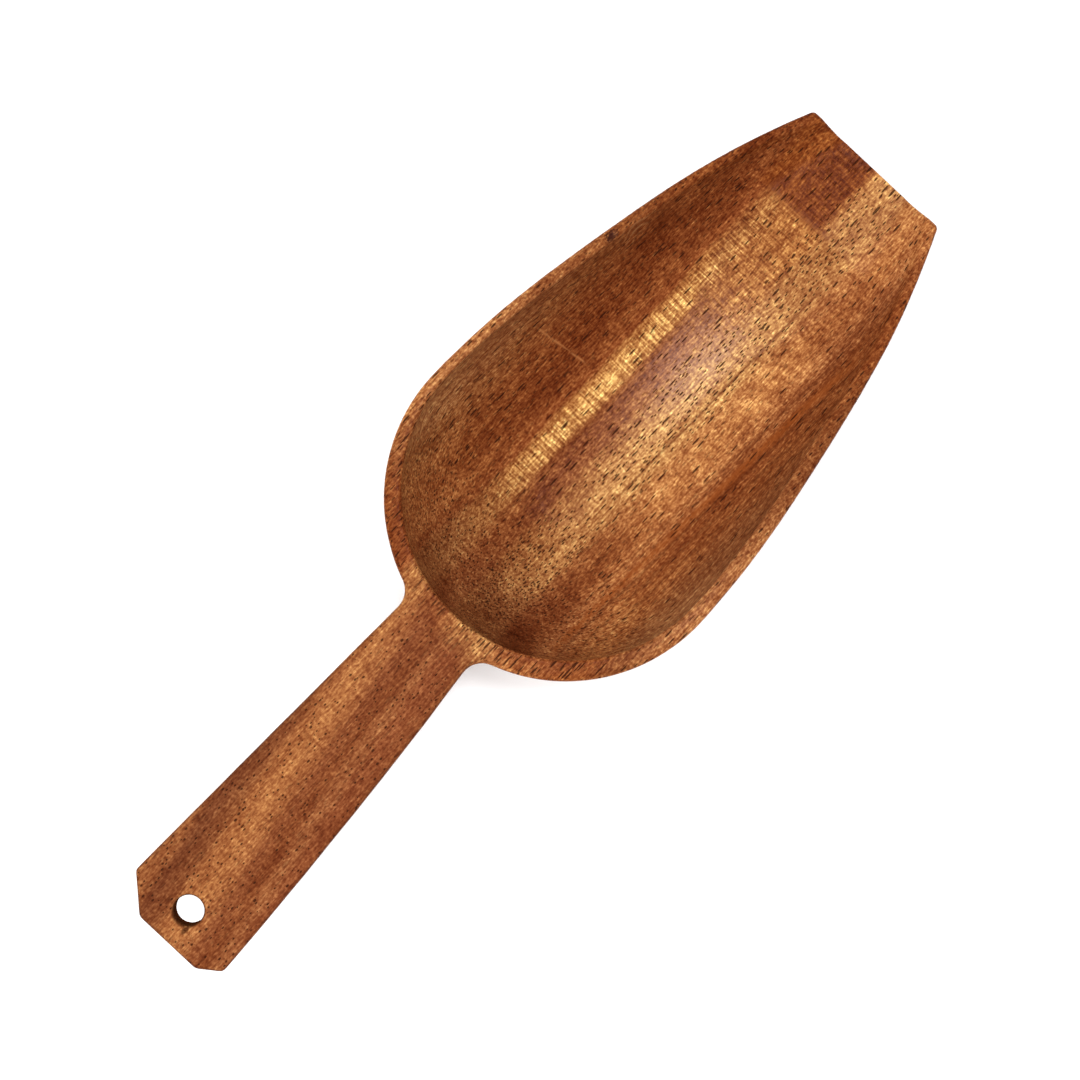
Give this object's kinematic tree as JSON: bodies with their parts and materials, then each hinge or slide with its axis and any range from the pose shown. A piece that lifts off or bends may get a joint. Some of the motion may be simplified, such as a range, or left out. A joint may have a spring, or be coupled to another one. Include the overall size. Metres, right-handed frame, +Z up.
{
  "type": "grain scoop",
  "caption": "Wooden scoop for dry goods, carved from one piece: deep boat-shaped bowl with an open, tapering mouth and a flat handle with a hanging hole.",
  "frame": {"origin": "on the flat the scoop rests on, under the middle of the bowl, in line with the bowl's mirror plane", "axes": "+X from the handle to the mouth, +Y to the left, +Z up out of the bowl"},
  "size_m": [0.2744, 0.0942, 0.044],
  "materials": {
    "acacia_wood": "satin oil"
  },
  "bodies": {
    "root": {"scoop": "acacia_wood"}
  },
  "joints": []
}
